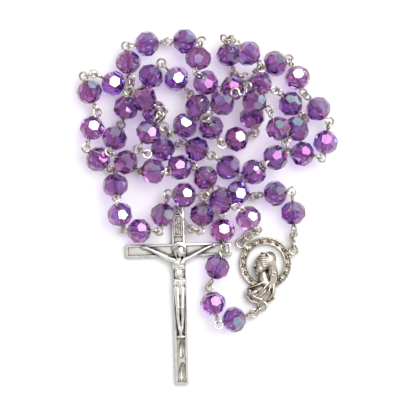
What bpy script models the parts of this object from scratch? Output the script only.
"""A five-decade rosary gathered up and laid flat, crucifix and centrepiece towards the reader.

Frame: +Z up from the table, +Y away from the reader, metres. Sizes below are in millimetres.

The rosary is one long chain. Each bead turns on a wire pin that ends in two eyes. The eye that leads
to the next bead lies flat and the eye that hooks into the bead before stands upright, so two
neighbours always meet at right angles, the flat eye's middle being the pivot that they swing on.
Short chains of two jump rings, one upright and one flat, part the Our Father beads from the decades.
So the whole rosary is a run of straight rods between pivots: a bead on its pin, or a short chain.
"""
import math

import bmesh
import bpy
import numpy as np
from mathutils import Matrix, Vector

MM = 0.001
GAP = 0.3

# Beads and their wire
BEAD_DIAMETER = 7.0
BEAD_LENGTH = 7.0
BEAD_BAND = 2.0
BEAD_END_DIAMETER = 3.0
BEAD_SIDES = 8
WIRE = 0.6
EYE_GAP = 0.05
RING_SEGMENTS = 6
WIRE_SIDES = 4
BAR = 0.4

# Jump ring of the crucifix
JUMP_RADIUS = 3.9
JUMP_WIRE = 0.65
JUMP_SEGMENTS = 16
JUMP_STEP = 0.5
JUMP_TURN = -58.0
JUMP_DIP = 4.0

# Crucifix, measured from the crossing of its arms
CROSS_PLACE = (-8.35, -12.6)
CROSS_TURN = 1.6
CROSS_TOP = 13.8
CROSS_FOOT = 40.2
CROSS_HALF_SPAN = 15.85
CROSS_WIDTH = 3.7
CROSS_THICKNESS = 1.85
CROSS_RIM = 0.45
CROSS_RECESS = 0.35
TAB_LENGTH = 6.6
TAB_THICKNESS = 0.75
TAB_HOLE = 2.2
TAB_HOLE_FROM_END = 1.5
TITLE_WIDTH = 2.7
TITLE_LENGTH = 6.6
TITLE_TOP = 10.6
TITLE_HEIGHT = 0.4
SCOOP_PLACES = (30.0, 36.6)
SCOOP_LENGTH = 5.4
SCOOP_WIDTH = 2.6
SCOOP_DEPTH = 0.9

# Figure on the crucifix
FIGURE_SPAN = 19.6
FIGURE_HEAD = 2.7
FIGURE_HEAD_DROP = 0.8
FIGURE_SHOULDER_DROP = 2.6
FIGURE_HIP_DROP = 8.6
FIGURE_KNEE_DROP = 15.5
FIGURE_FEET_DROP = 25.4
FIGURE_CHEST = 3.4
FIGURE_ARM = 1.15
FIGURE_HIPS = 3.0
FIGURE_DEPTH = 2.2

# Centrepiece: a pierced ring with a veiled bust and three eyelets
CENTRE_PLACE = (17.7, -16.5)
CENTRE_OUTER = 15.6
CENTRE_OPENING = 11.2
CENTRE_THICKNESS = 1.7
EYELET_WALL = 0.7
EYELET_THICKNESS = 0.6
EYELET_NECK = 1.5
LEFT_EYELET = (-7.5, 6.0)
RIGHT_EYELET = (8.4, 3.9)
TAIL_EYELET = (-1.0, -12.9)
BUST_HEAD = (0.0, 0.6)
BUST_HEAD_WIDTH = 6.0
BUST_HEAD_LENGTH = 7.6
BUST_SHOULDERS = (-0.6, -7.2)
BUST_SHOULDERS_WIDTH = 9.6
BUST_SHOULDERS_LENGTH = 9.0
BUST_HEIGHT = 3.4

# Where the beads lie, as x, y and layer (1 rests on the beads below)
DECADES = (
    ((14.5, -3.5, 0), (3.5, 2.5, 1), (-6.5, 5.0, 0), (-14.6, -2.2, 0), (-20.5, -7.0, 0),
     (-25.0, -1.5, 0), (-25.5, 6.5, 0), (-32.5, 15.0, 0), (-33.5, 25.5, 0), (-34.5, 34.0, 0)),
    ((-23.0, 44.0, 0), (-17.5, 48.5, 0), (-7.0, 49.0, 0), (-2.5, 42.5, 0), (0.0, 36.5, 0),
     (8.5, 38.0, 1), (11.5, 26.5, 0), (8.5, 20.0, 0), (1.0, 24.0, 0), (-6.5, 24.5, 0)),
    ((-16.0, 40.5, 0), (-9.5, 37.5, 0), (-5.0, 31.0, 0), (5.5, 31.0, 1), (13.5, 32.5, 1),
     (21.0, 24.5, 0), (28.0, 23.0, 0), (23.5, 30.5, 0), (16.0, 37.0, 0), (7.0, 46.0, 0)),
    ((20.0, 45.5, 0), (25.0, 38.0, 0), (33.0, 29.5, 0), (34.5, 19.0, 0), (28.0, 15.5, 0),
     (20.5, 16.0, 0), (14.5, 10.5, 0), (5.5, 13.0, 0), (-2.0, 17.0, 0), (-10.5, 19.0, 0)),
    ((-17.0, 34.0, 1), (-24.0, 29.0, 0), (-26.5, 20.5, 0), (-24.5, 13.5, 0), (-17.0, 11.5, 0),
     (-8.0, 12.5, 0), (0.0, 9.5, 0), (10.5, 4.5, 0), (21.0, 5.5, 0), (25.0, -0.5, 0)),
)
OUR_FATHERS = ((-27.5, 35.5, 0), (-13.5, 27.5, 0), (13.0, 43.0, 1), (-19.0, 21.5, 0))
PENDANT = ((7.5, -33.5, 0), (1.0, -29.5, 0), (4.0, -18.5, 0), (4.5, -6.5, 0), (-2.0, -3.0, 0))
LONG_LINKS = ((1, 6), (2, 9))  # decade and bead that a short chain leads to, under a crossing bead

# Sizes that follow: an eye is two wires in radius, and hooked rings stand far enough apart to clear
EYE_RADIUS = 2 * WIRE
HOOK_STEP = 1.25 * EYE_RADIUS
RING_STEP = 4 / 3 * EYE_RADIUS
EYE_REACH = BEAD_LENGTH / 2 + EYE_GAP + EYE_RADIUS + WIRE / 2
UNIT = 2 * EYE_REACH + HOOK_STEP
CHAIN = 2 * RING_STEP
BEAD_SHARE = (HOOK_STEP + EYE_REACH) / UNIT
BORE = WIRE + 2 * GAP
RING_CORNER = EYE_RADIUS * 1.07
RING_FLAT = RING_CORNER * math.cos(math.pi / RING_SEGMENTS)
RING_OUTER = RING_CORNER + WIRE / 2
EYELET_HOLE = 2 * EYE_RADIUS - 0.5
EYELET_OUTER = EYELET_HOLE + 2 * EYELET_WALL
EYELET_HEIGHT = RING_OUTER + 0.02
SPREAD = max(BEAD_DIAMETER / 7.0, UNIT / 11.6)
BEAD_CORNER = math.hypot(BEAD_DIAMETER, BEAD_BAND) / 2
TAB_BOTTOM = CROSS_THICKNESS - TAB_THICKNESS
LAYER = 0.85 * BEAD_DIAMETER / 2

EASE_ROUNDS = 1600
ELBOW = 2.5       # how far each side of a pivot its bend is measured
MOST_BEND = 95.0


def unit(vector):
    return vector / np.linalg.norm(vector)


def cross_point(x, y, z=0.0):
    """A place on the crucifix, x to its right arm and y up its shaft from the crossing."""
    turn = math.radians(CROSS_TURN)
    east, north = CROSS_PLACE[0] * SPREAD, CROSS_PLACE[1] * SPREAD
    return np.array((east + x * math.cos(turn) - y * math.sin(turn),
                     north + x * math.sin(turn) + y * math.cos(turn), z))


def centre_point(x, y, z=0.0):
    return np.array((CENTRE_PLACE[0] * SPREAD + x, CENTRE_PLACE[1] * SPREAD + y, z))


def jump_ring_places():
    """The ring stands on the table in the tab's hole: its middle, and where the last eye hooks on."""
    turn, dip = math.radians(JUMP_TURN), math.radians(JUMP_DIP)
    low = JUMP_RADIUS + JUMP_WIRE / 2 + 0.02
    drop = low - (TAB_BOTTOM + TAB_THICKNESS / 2)
    reach = math.sqrt(JUMP_RADIUS ** 2 - drop ** 2)
    along = np.array((math.cos(turn), math.sin(turn), 0))
    up = np.array((0, 0, 1))
    middle = cross_point(0, CROSS_TOP - TAB_HOLE_FROM_END) + along * reach + up * low
    hook = middle + (along * math.cos(dip) - up * math.sin(dip)) * (JUMP_RADIUS + JUMP_STEP)
    return middle, hook


class Chain:
    """The run of rods: its pivots, and each rod's two pivots, length, kind and the node it goes to."""

    def __init__(self):
        self.points = []
        self.fixed = []
        self.rods = []
        self.beads = []

    def pivot(self, place, held=False):
        self.points.append(np.array(place, float))
        self.fixed.append(held)
        return len(self.points) - 1

    def chain(self, start, count, towards, node, held=False):
        """Short chains of two rings each, heading for a place, or ending there when it is held."""
        for _ in range(count):
            way = unit(np.array(towards, float) - self.points[start])
            end = self.pivot(towards if held else self.points[start] + way * CHAIN, held)
            self.rods.append((start, end, CHAIN, "chain", node))
            start = end
        return start

    def bead(self, start, place, node):
        goal = np.array((place[0] * SPREAD, place[1] * SPREAD, BEAD_DIAMETER / 2 + place[2] * LAYER))
        end = self.pivot(goal + unit(goal - self.points[start]) * EYE_REACH)
        self.rods.append((start, end, UNIT, "bead", node))
        self.beads.append((len(self.rods) - 1, goal))
        return end


def string_rosary():
    """The rods in the order that a hand tells them, from the left eyelet round to the right one."""
    line = Chain()
    at = line.pivot(centre_point(*LEFT_EYELET, EYELET_HEIGHT), held=True)
    at = line.chain(at, 2, goal_near(DECADES[0][0]), "left_eyelet_chain")
    for number, decade in enumerate(DECADES):
        for count, place in enumerate(decade):
            first = count - count % 2 + 1
            node = f"decade_{number + 1}_beads_{first}_{first + 1}"
            if (number, count) in LONG_LINKS:
                at = line.chain(at, 1, goal_near(place), node)
            at = line.bead(at, place, node)
        if number < len(OUR_FATHERS):
            place = OUR_FATHERS[number]
            at = line.chain(at, 1, goal_near(place), f"short_chain_{2 * number + 1}")
            at = line.bead(at, place, f"our_father_{number + 1}")
            at = line.chain(at, 1, goal_near(DECADES[number + 1][0]), f"short_chain_{2 * number + 2}")
    right = centre_point(*RIGHT_EYELET, EYELET_HEIGHT)
    at = line.chain(at, 1, right, "right_eyelet_chain")
    line.chain(at, 1, right, "right_eyelet_chain", held=True)

    at = line.pivot(centre_point(*TAIL_EYELET, EYELET_HEIGHT), held=True)
    at = line.chain(at, 1, goal_near(PENDANT[0]), "centrepiece_tail_chain")
    for count, place in enumerate(PENDANT):
        if count == len(PENDANT) - 1:
            at = line.chain(at, 3, goal_near((place[0], place[1] + 6)), "pendant_chain")
        at = line.bead(at, place, f"pendant_{count + 1}")
    middle, hook = jump_ring_places()
    at = line.chain(at, 1, hook, "crucifix_chain", held=True)
    end = line.pivot(middle, held=True)
    line.rods.append((at, end, JUMP_RADIUS + JUMP_STEP, "jump", "crucifix_jump_ring"))
    return line


def goal_near(place):
    return (place[0] * SPREAD, place[1] * SPREAD, 2.0)


def keep_clear(line):
    """Every bead and ring as a ball on its rod: rod, share along it, size to keep and lowest centre."""
    ring = RING_CORNER + GAP / 3
    balls = []
    for rod, (_, end, _, kind, _) in enumerate(line.rods):
        if kind == "bead":
            balls.append((rod, BEAD_SHARE, BEAD_CORNER + GAP / 2, BEAD_CORNER))
            balls.append((rod, HOOK_STEP / UNIT, ring, RING_OUTER))
            balls.append((rod, 1.0, ring, RING_OUTER))
        elif kind == "chain":
            balls.append((rod, 0.5, ring, RING_OUTER))
            if not line.fixed[end]:
                balls.append((rod, 1.0, ring, RING_OUTER))
    return balls


def elbows(line):
    """For each pivot between two rods, a place on either side that may not fold together."""
    found = []
    for number in range(len(line.rods) - 1):
        before, after = line.rods[number], line.rods[number + 1]
        if before[1] == after[0]:
            found.append((number, 1 - ELBOW / before[2], number + 1, ELBOW / after[2]))
    return found


def posts(line):
    """Standing things that the chain keeps off: the crucifix and the centrepiece, as rows of balls."""
    half = CROSS_WIDTH / 2 + 2.5 * GAP
    rows = []
    for y in np.arange(CROSS_TOP - half, -CROSS_FOOT, -half):
        rows.append((*cross_point(0, y, 0.3 * CROSS_THICKNESS), half))
    for x in (-CROSS_WIDTH / 2 + 0.6, CROSS_WIDTH / 2 - 0.6):
        rows.append((*cross_point(x, CROSS_TOP - 0.6, TAB_BOTTOM), 0.85 + GAP))
    for x in np.arange(-CROSS_HALF_SPAN + half, CROSS_HALF_SPAN, half):
        rows.append((*cross_point(x, 0, 0.3 * CROSS_THICKNESS), half))
    for turn in range(0, 360, 15):
        angle = math.radians(turn)
        middle = (CENTRE_OUTER + CENTRE_OPENING) / 4
        wall = (CENTRE_OUTER - CENTRE_OPENING) / 4 + GAP + 0.3
        rows.append((*centre_point(middle * math.cos(angle), middle * math.sin(angle), 0.6), wall))
    ring, hook = jump_ring_places()
    across = unit((hook - ring) * (1, 1, 0))
    for turn in range(0, 360, 20):
        angle = math.radians(turn)
        spoke = across * math.cos(angle) + np.array((0, 0, math.sin(angle)))
        if spoke.dot(unit(hook - ring)) < 0.9:
            rows.append((*(ring + spoke * JUMP_RADIUS), JUMP_WIRE / 2 + GAP / 2))
    return np.array(rows)


def ease(line):
    """Moves the pivots, as a sketch solver does, until every rod has its length and nothing meets."""
    place = np.array(line.points)
    free = np.array([0.0 if held else 1.0 for held in line.fixed])
    first = np.array([rod[0] for rod in line.rods])
    last = np.array([rod[1] for rod in line.rods])
    length = np.array([rod[2] for rod in line.rods])
    balls = keep_clear(line)
    bends = elbows(line)
    solid = len(balls)
    for one, near, two, far in bends:
        balls += [(one, near, 0, 0), (two, far, 0, 0)]
    rod = np.array([ball[0] for ball in balls])
    share = np.array([ball[1] for ball in balls])
    size = np.array([ball[2] for ball in balls[:solid]])
    lowest = np.array([ball[3] for ball in balls])
    low_end, high_end = first[rod], last[rod]
    weight = (1 - share) ** 2 + share ** 2
    one, two = np.triu_indices(solid, 1)
    together = rod[one] == rod[two]
    jointed = (first[rod[one]] == last[rod[two]]) | (last[rod[one]] == first[rod[two]])
    both_beads = (size[one] > 2 * EYE_RADIUS) & (size[two] > 2 * EYE_RADIUS)
    kept = ~together & (~jointed | both_beads)
    one, two = one[kept], two[kept]
    wanted = np.append(size[one] + size[two],
                       np.full(len(bends), 2 * ELBOW * math.cos(math.radians(MOST_BEND / 2))))
    one = np.append(one, solid + 2 * np.arange(len(bends)))
    two = np.append(two, solid + 2 * np.arange(len(bends)) + 1)
    post = posts(line)
    bead_rods = np.array([bead[0] for bead in line.beads])
    goals = np.array([bead[1] for bead in line.beads])
    bead_first, bead_last = first[bead_rods], last[bead_rods]

    def centres():
        return place[low_end] * (1 - share)[:, None] + place[high_end] * share[:, None]

    def push(which, step):
        move = np.zeros_like(place)
        near = ((1 - share[which]) / weight[which])[:, None]
        far = (share[which] / weight[which])[:, None]
        np.add.at(move, low_end[which], step * near)
        np.add.at(move, high_end[which], step * far)
        place[:] += move * free[:, None]

    for turn in range(EASE_ROUNDS):
        left = 1 - turn / EASE_ROUNDS
        middle = place[bead_first] * (1 - BEAD_SHARE) + place[bead_last] * BEAD_SHARE
        draw = (goals - middle) * (0.05 * left + 0.002)
        draw[:, 2] = 0
        np.add.at(place, bead_first, draw * free[bead_first][:, None])
        np.add.at(place, bead_last, draw * free[bead_last][:, None])
        place[:, 2] -= 0.1 * free * left
        for sweep in range(6):
            if sweep % 3 == 0:
                at = centres()
                apart = at[one] - at[two]
                distance = np.linalg.norm(apart, axis=1)
                meet = distance < wanted
                step = apart[meet] * ((wanted - distance)[meet] / (4 * distance[meet]))[:, None]
                push(one[meet], step)
                push(two[meet], -step)
                at = centres()[:solid]
                apart = at[:, None, :] - post[None, :, :3]
                distance = np.linalg.norm(apart, axis=2)
                short = size[:, None] + post[None, :, 3] - distance
                ball, row = np.nonzero(short > 0)
                push(ball, apart[ball, row] * (short[ball, row] / (2 * distance[ball, row]))[:, None])
                at = centres()
                sunk = np.nonzero(at[:, 2] < lowest + 0.02)[0]
                rise = np.zeros((len(sunk), 3))
                rise[:, 2] = (lowest[sunk] + 0.02 - at[sunk, 2]) / 2
                push(sunk, rise)
            for parity in (0, 1):
                some = np.arange(parity, len(length), 2)
                a, b = first[some], last[some]
                way = place[b] - place[a]
                distance = np.linalg.norm(way, axis=1)
                total = np.maximum(free[a] + free[b], 1.0)
                fix = way * ((distance - length[some]) / (distance * total))[:, None]
                place[a] += fix * free[a][:, None]
                place[b] -= fix * free[b][:, None]
    return np.round(place, 2)


class Rod:
    """One straight stretch: where it starts and ends, its direction, and how its rings are turned."""

    def __init__(self, start, end, kind, ends_on_eyelet):
        self.start = start
        self.end = end
        self.kind = kind
        self.ends_on_eyelet = ends_on_eyelet
        self.way = unit(end - start)
        self.flat = None      # normal of the flat ring at the end
        self.upright = None   # normal of the upright ring near the start


def levellest(way, after, slack=0.1):
    """The normal for an eye at the end of a rod that lies most nearly level, yet leads on squarely."""
    level = unit(np.array((0.0, 0.0, 1.0)) - way * way[2])
    side = np.cross(way, level)
    for step in range(37):
        for sign in (1, -1):
            angle = math.radians(2.5 * step * sign)
            normal = level * math.cos(angle) + side * math.sin(angle)
            if abs(normal.dot(after)) < slack:
                return normal
    return level


def rods_of(line, place):
    starts = {rod[0] for rod in line.rods}
    rods = []
    for start, end, _, kind, _ in line.rods:
        ends_on_eyelet = kind == "chain" and end not in starts
        rods.append(Rod(place[start], place[end], kind, ends_on_eyelet))
    up = np.array((0.0, 0.0, 1.0))
    for number, rod in enumerate(rods):
        follows = number > 0 and line.rods[number - 1][1] == line.rods[number][0]
        before = rods[number - 1].flat if follows else up
        rod.upright = unit(np.cross(rod.way, up if rod.ends_on_eyelet else before))
        leads = number + 1 < len(rods) and line.rods[number][1] == line.rods[number + 1][0]
        after = rods[number + 1].way if leads else rod.way
        rod.flat = levellest(rod.way, after, 0.2 if leads and rods[number + 1].kind == "jump" else 0.1)
    return rods


# Shapes, each a closed mesh made where it lies

def turned(profile, sides, axis):
    """A profile of points along and out from an axis, spun into a closed solid."""
    shape = bmesh.new()
    side = Vector((0, 1, 0)) if axis == "X" else Vector((1, 0, 0))
    along = Vector((1, 0, 0)) if axis == "X" else Vector((0, 0, 1))
    verts = [shape.verts.new(along * a + side * r) for a, r in profile]
    loop = list(zip(verts, verts[1:]))
    if profile[0][1] > 0:
        loop.append((verts[-1], verts[0]))
    edges = [shape.edges.new(pair) for pair in loop]
    bmesh.ops.spin(shape, geom=verts + edges, cent=(0, 0, 0), axis=along, angle=2 * math.pi,
                   steps=sides, use_merge=True, use_duplicate=False)
    bmesh.ops.remove_doubles(shape, verts=shape.verts, dist=1e-4)
    out = (1, 2) if axis == "X" else (0, 1)
    poles = [v for v in shape.verts if math.hypot(v.co[out[0]], v.co[out[1]]) < 1e-4]
    bmesh.ops.dissolve_verts(shape, verts=poles)
    bmesh.ops.recalc_face_normals(shape, faces=shape.faces)
    return shape


def ring_shape(radius, wire, segments):
    """A closed wire ring round Z, a flat stretch of it on each side where things hook on along X."""
    profile = []
    for corner in range(WIRE_SIDES):
        angle = 2 * math.pi * (corner + 0.5) / WIRE_SIDES
        profile.append((wire / 2 * math.sin(angle), radius + wire / 2 * math.cos(angle)))
    return placed(turned(profile, segments, "Z"), Matrix.Rotation(math.pi / segments, 4, "Z"))


def bead_profile(bore):
    half, band = BEAD_LENGTH / 2, BEAD_BAND / 2
    profile = [(-half, bore / 2), (-half, BEAD_END_DIAMETER / 2), (-band, BEAD_DIAMETER / 2),
               (band, BEAD_DIAMETER / 2), (half, BEAD_END_DIAMETER / 2), (half, bore / 2)]
    return profile


def rod_shape(length, width, sides=WIRE_SIDES):
    """A plain round bar along X from the origin."""
    return turned([(0, 0), (0, width / 2), (length, width / 2), (length, 0)], sides, "X")


def frame_at(origin, x=None, z=None):
    """A placing matrix with its X or its Z (or both) along the given directions."""
    if z is None:
        x = Vector(x).normalized()
        z = Vector((0, 0, 1)) - x * x.z
        z.normalize()
    else:
        z = Vector(z).normalized()
        x = Vector(x if x is not None else (1, 0.001, 0))
        x = (x - z * x.dot(z)).normalized()
    y = z.cross(x)
    turn = Matrix((x, y, z)).transposed().to_4x4()
    return Matrix.Translation(Vector(origin)) @ turn


def placed(shape, matrix):
    bmesh.ops.transform(shape, matrix=matrix, verts=shape.verts)
    return shape


def united(shapes, cuts=()):
    """Closed shapes joined into one body, and other closed shapes cut out of it."""
    scene = bpy.context.scene.collection
    helpers = bpy.data.collections.new("helpers")
    tools = bpy.data.collections.new("cutters")
    owned = []
    for index, shape in enumerate(list(shapes) + list(cuts)):
        mesh = bpy.data.meshes.new("piece")
        shape.to_mesh(mesh)
        shape.free()
        thing = bpy.data.objects.new("piece", mesh)
        owned.append(thing)
        if index == 0:
            scene.objects.link(thing)
        elif index < len(shapes):
            helpers.objects.link(thing)
        else:
            tools.objects.link(thing)
    for operation, group in (("UNION", helpers), ("DIFFERENCE", tools)):
        if len(group.objects):
            modifier = owned[0].modifiers.new(operation, "BOOLEAN")
            modifier.operation = operation
            modifier.operand_type = "COLLECTION"
            modifier.collection = group
            modifier.solver = "EXACT"
    bpy.context.view_layer.update()
    graph = bpy.context.evaluated_depsgraph_get()
    result = bpy.data.meshes.new_from_object(owned[0].evaluated_get(graph))
    for thing in owned:
        mesh = thing.data
        bpy.data.objects.remove(thing)
        bpy.data.meshes.remove(mesh)
    bpy.data.collections.remove(helpers)
    bpy.data.collections.remove(tools)
    return result


def single(shape):
    mesh = bpy.data.meshes.new("piece")
    shape.to_mesh(mesh)
    shape.free()
    return mesh


def finish(name, mesh, frame, material):
    """Names a node and gives it its own origin and turn, the mesh having been made in place."""
    mesh.name = name
    mesh.transform(frame.inverted())
    mesh.transform(Matrix.Scale(MM, 4))
    mesh.materials.clear()
    mesh.materials.append(material)
    thing = bpy.data.objects.new(name, mesh)
    bpy.context.scene.collection.objects.link(thing)
    move = frame.copy()
    move.translation = frame.translation * MM
    thing.matrix_world = move
    return thing


def material(name, colour, metallic, roughness, alpha=1.0):
    made = bpy.data.materials.new(name)
    made.use_nodes = True
    shader = made.node_tree.nodes["Principled BSDF"]
    shader.inputs["Base Color"].default_value = (*colour, 1)
    shader.inputs["Metallic"].default_value = metallic
    shader.inputs["Roughness"].default_value = roughness
    shader.inputs["Alpha"].default_value = alpha
    made.diffuse_color = (*colour, alpha)
    return made


# Pieces of the chain

def flat_ring(rod):
    return placed(ring_shape(RING_CORNER, WIRE, RING_SEGMENTS), frame_at(rod.end, rod.way, rod.flat))


def upright_ring(rod, step):
    centre = rod.start + rod.way * step
    return placed(ring_shape(RING_CORNER, WIRE, RING_SEGMENTS), frame_at(centre, rod.way, rod.upright))


def bar_between(start, end, width=BAR):
    way = end - start
    return placed(rod_shape(np.linalg.norm(way), width), frame_at(start, way))


def hook_bar(before, rod, step):
    """A short bar that joins two hooked rings into one body, from wire to wire inside the hook."""
    near = rod.start + rod.way * (step - RING_FLAT)
    across = unit(rod.way - before.flat * before.flat.dot(rod.way))
    return bar_between(near, rod.start + across * (RING_FLAT + 0.07))


def bead_centre(rod):
    return rod.start + rod.way * (HOOK_STEP + EYE_REACH)


def pin_shapes(rod, through):
    """A bead's two eyes and the wire between them, or only the two necks beside a solid bead."""
    inner = EYE_REACH - RING_FLAT
    centre = bead_centre(rod)
    shapes = [upright_ring(rod, HOOK_STEP), flat_ring(rod)]
    if through:
        shapes.append(bar_between(centre - rod.way * inner, centre + rod.way * inner, WIRE))
    else:
        for side in (-1, 1):
            tuck = centre + rod.way * side * (BEAD_LENGTH / 2 - 0.4)
            shapes.append(bar_between(tuck, centre + rod.way * side * inner, WIRE))
    return shapes


def solid_bead(rod):
    profile = bead_profile(0)
    return placed(turned(profile, BEAD_SIDES, "X"), frame_at(bead_centre(rod), rod.way))


def bored_bead(name, rod, look):
    shape = placed(turned(bead_profile(BORE), BEAD_SIDES, "X"), frame_at(bead_centre(rod), rod.way))
    return finish(name, single(shape), frame_at(bead_centre(rod), rod.way), look)


def loose_pin(name, rod, look):
    return finish(name, united(pin_shapes(rod, True)), frame_at(rod.start, rod.way), look)


def joined_run(name, rods, look):
    """A stretch of the chain as one body, each pair of hooked rings joined by a short bar."""
    shapes = []
    for number, rod in enumerate(rods):
        step = HOOK_STEP if rod.kind == "bead" else RING_STEP
        if number:
            shapes.append(hook_bar(rods[number - 1], rod, step))
        if rod.kind == "bead":
            shapes.append(solid_bead(rod))
            shapes.extend(pin_shapes(rod, False))
        else:
            shapes.append(upright_ring(rod, RING_STEP))
            if not rod.ends_on_eyelet:
                shapes.append(flat_ring(rod))
                near = rod.start + rod.way * (2 * RING_STEP - RING_FLAT)
                shapes.append(bar_between(near, rod.start + rod.way * (RING_STEP + RING_FLAT)))
    mesh = united(shapes) if len(shapes) > 1 else single(shapes[0])
    return finish(name, mesh, frame_at(rods[0].start, rods[0].way), look)


def make_jump_ring(rod, look):
    normal = unit(np.cross(rod.end - rod.start, (0, 0, 1)))
    frame = frame_at(rod.end, rod.start - rod.end, normal)
    shape = placed(ring_shape(JUMP_RADIUS, JUMP_WIRE, JUMP_SEGMENTS), frame)
    return finish("crucifix_jump_ring", single(shape), frame, look)


# The crucifix and its figure

def cross_frame():
    turn = Matrix.Rotation(math.radians(CROSS_TURN), 4, "Z")
    return Matrix.Translation(Vector(cross_point(0, 0))) @ turn


def block(x, y, z, low=0.0):
    """A box of the given width, length and height, centred in plan and standing at a level."""
    shape = bmesh.new()
    bmesh.ops.create_cube(shape, size=1)
    bmesh.ops.scale(shape, vec=(x, y, z), verts=shape.verts)
    bmesh.ops.translate(shape, vec=(0, 0, low + z / 2), verts=shape.verts)
    return shape


def egg(size, place, segments=10, rings=6):
    shape = bmesh.new()
    bmesh.ops.create_uvsphere(shape, u_segments=segments, v_segments=rings, radius=0.5)
    bmesh.ops.scale(shape, vec=size, verts=shape.verts)
    bmesh.ops.translate(shape, vec=place, verts=shape.verts)
    return shape


def cross_outline():
    half, span = CROSS_WIDTH / 2, CROSS_HALF_SPAN
    right = [(half, -CROSS_FOOT), (half, -half), (span, -half), (span, half), (half, half), (half, CROSS_TOP)]
    return right + [(-x, y) for x, y in reversed(right)]


def make_cross(look):
    shape = bmesh.new()
    base = shape.faces.new([shape.verts.new((x, y, 0)) for x, y in cross_outline()])
    top = bmesh.ops.extrude_face_region(shape, geom=[base])
    lifted = [v for v in top["geom"] if isinstance(v, bmesh.types.BMVert)]
    bmesh.ops.translate(shape, vec=(0, 0, CROSS_THICKNESS), verts=lifted)
    bmesh.ops.recalc_face_normals(shape, faces=shape.faces)
    face = [f for f in shape.faces if f.normal.z > 0.9]
    bmesh.ops.inset_region(shape, faces=face, thickness=CROSS_RIM, use_even_offset=True)
    panel = [f for f in shape.faces if f.normal.z > 0.9 and len(f.verts) > 4]
    sunk = {v for f in panel for v in f.verts}
    bmesh.ops.translate(shape, vec=(0, 0, -CROSS_RECESS), verts=list(sunk))
    level = CROSS_THICKNESS - CROSS_RECESS
    title = block(TITLE_WIDTH, TITLE_LENGTH, TITLE_HEIGHT + 0.2, level - 0.2)
    bmesh.ops.translate(title, vec=(0, TITLE_TOP - TITLE_LENGTH / 2, 0), verts=title.verts)
    relief = block(2 * CROSS_WIDTH, TAB_LENGTH + 1, TAB_BOTTOM + 1, -1)
    bmesh.ops.translate(relief, vec=(0, CROSS_TOP + 0.5 - TAB_LENGTH / 2, 0), verts=relief.verts)
    hole = bmesh.new()
    bmesh.ops.create_cone(hole, cap_ends=True, segments=16, radius1=TAB_HOLE / 2, radius2=TAB_HOLE / 2,
                          depth=3 * CROSS_THICKNESS)
    bmesh.ops.translate(hole, vec=(0, CROSS_TOP - TAB_HOLE_FROM_END, 0), verts=hole.verts)
    scoops = [egg((SCOOP_WIDTH, SCOOP_LENGTH, 2 * SCOOP_DEPTH), (0, -place, CROSS_THICKNESS))
              for place in SCOOP_PLACES]
    mesh = united([shape, title], [relief, hole] + scoops)
    mesh.transform(cross_frame())
    return finish("crucifix_cross", mesh, cross_frame(), look)


def limb(start, end, width_start, width_end, sides=6):
    """A tapered limb between two points."""
    start, end = Vector(start), Vector(end)
    way = end - start
    shape = turned([(0, 0), (0, width_start / 2), (way.length, width_end / 2), (way.length, 0)], sides, "X")
    return placed(shape, frame_at(start, way))


def make_figure(look):
    """The figure lies on the cross's sunk panel, a gap above it."""
    floor = CROSS_THICKNESS + GAP
    middle = floor + FIGURE_DEPTH / 2
    arm_level = floor + FIGURE_ARM / 2
    hand = FIGURE_SPAN / 2
    shoulder = (FIGURE_CHEST / 2 - 0.9, -FIGURE_SHOULDER_DROP - 0.6, arm_level + 0.3)
    shapes = [egg((FIGURE_CHEST, 7.0, FIGURE_DEPTH), (0, -FIGURE_SHOULDER_DROP - 2.4, middle)),
              egg((FIGURE_HEAD, 3.2, FIGURE_DEPTH), (0.3, -FIGURE_HEAD_DROP, middle)),
              egg((FIGURE_HIPS, 5.2, FIGURE_DEPTH), (0, -FIGURE_HIP_DROP, middle)),
              limb((0, -FIGURE_HIP_DROP - 1, middle), (0.2, -FIGURE_KNEE_DROP, middle),
                   FIGURE_DEPTH, FIGURE_DEPTH - 0.2),
              limb((0.2, -FIGURE_KNEE_DROP + 0.6, middle), (0, -FIGURE_FEET_DROP, floor + 0.75),
                   FIGURE_DEPTH - 0.2, 1.4)]
    for side in (-1, 1):
        shapes.append(limb((side * shoulder[0], shoulder[1], shoulder[2]), (side * hand, 0.1, arm_level),
                           FIGURE_ARM + 0.2, FIGURE_ARM - 0.2))
    mesh = united(shapes)
    mesh.transform(cross_frame())
    return finish("crucifix_figure", mesh, cross_frame(), look)


# The centrepiece

def eyelet(place):
    half = EYELET_THICKNESS / 2
    profile = [(EYELET_HEIGHT - half, EYELET_HOLE / 2), (EYELET_HEIGHT - half, EYELET_OUTER / 2),
               (EYELET_HEIGHT + half, EYELET_OUTER / 2), (EYELET_HEIGHT + half, EYELET_HOLE / 2)]
    return placed(turned(profile, 12, "Z"), Matrix.Translation((*place, 0)))


def eyelet_neck(place, target):
    """The web of metal that ties an eyelet to the casting."""
    start, end = Vector((*place, EYELET_HEIGHT)), Vector((*target, EYELET_HEIGHT))
    way = (end - start).normalized()
    start += way * (EYELET_HOLE / 2 + 0.35)
    shape = block((end - start).length, EYELET_NECK, EYELET_THICKNESS - 0.1)
    bmesh.ops.translate(shape, vec=((end - start).length / 2, 0, -(EYELET_THICKNESS - 0.1) / 2), verts=shape.verts)
    return placed(shape, frame_at(start, way))


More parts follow.
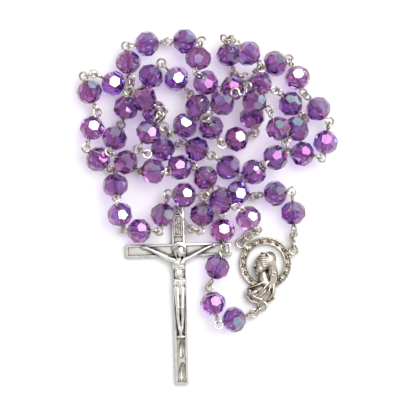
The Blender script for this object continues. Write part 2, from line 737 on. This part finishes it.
def make_centrepiece(look):
    ring = turned([(0, CENTRE_OPENING / 2), (0, CENTRE_OUTER / 2), (CENTRE_THICKNESS, CENTRE_OUTER / 2),
                   (CENTRE_THICKNESS, CENTRE_OPENING / 2)], 24, "Z")
    high = 2 * BUST_HEIGHT
    head = egg((BUST_HEAD_WIDTH, BUST_HEAD_LENGTH, high), (*BUST_HEAD, 0))
    shoulders = egg((BUST_SHOULDERS_WIDTH, BUST_SHOULDERS_LENGTH, high * 0.8), (*BUST_SHOULDERS, 0))
    below = block(4 * CENTRE_OUTER, 4 * CENTRE_OUTER, high, -high)
    middle = (CENTRE_OUTER + CENTRE_OPENING) / 4
    shapes = [ring, head, shoulders]
    for place in (LEFT_EYELET, RIGHT_EYELET):
        inward = Vector(place).normalized() * middle
        shapes += [eyelet(place), eyelet_neck(place, tuple(inward))]
    shapes += [eyelet(TAIL_EYELET), eyelet_neck(TAIL_EYELET, (BUST_SHOULDERS[0], BUST_SHOULDERS[1] - 1))]
    mesh = united(shapes, [below])
    frame = Matrix.Translation(Vector(centre_point(0, 0)))
    mesh.transform(frame)
    return finish("centrepiece", mesh, frame, look)


def centre_on_table():
    """Puts the middle of the rosary's footprint over the origin, its lowest face at zero."""
    bpy.context.view_layer.update()
    corners = np.array([thing.matrix_world @ vertex.co
                        for thing in bpy.context.scene.objects for vertex in thing.data.vertices])
    low, high = corners.min(axis=0), corners.max(axis=0)
    shift = Vector(((low[0] + high[0]) / 2, (low[1] + high[1]) / 2, low[2]))
    for thing in bpy.context.scene.objects:
        thing.location -= shift


def clear_scene():
    for thing in list(bpy.data.objects):
        bpy.data.objects.remove(thing)


def build():
    clear_scene()
    crystal = material("amethyst_glass", (0.16, 0.05, 0.33), 0.0, 0.08)
    wire = material("nickel_wire", (0.62, 0.60, 0.56), 1.0, 0.22)
    antique = material("antique_silver", (0.42, 0.40, 0.37), 1.0, 0.35)
    pewter = material("champagne_silver", (0.55, 0.50, 0.43), 1.0, 0.35)

    line = string_rosary()
    rods = rods_of(line, ease(line))
    runs = {}
    for rod, (_, _, _, _, node) in zip(rods, line.rods):
        runs.setdefault(node, []).append(rod)
    for node, run in runs.items():
        if node.startswith("decade"):
            joined_run(node, run, crystal)
        elif run[0].kind == "bead":
            bored_bead(f"{node}_bead", run[0], crystal)
            loose_pin(f"{node}_pin", run[0], wire)
        elif run[0].kind == "jump":
            make_jump_ring(run[0], wire)
        else:
            joined_run(node, run, wire)
    make_cross(antique)
    make_figure(antique)
    make_centrepiece(pewter)
    centre_on_table()


build()
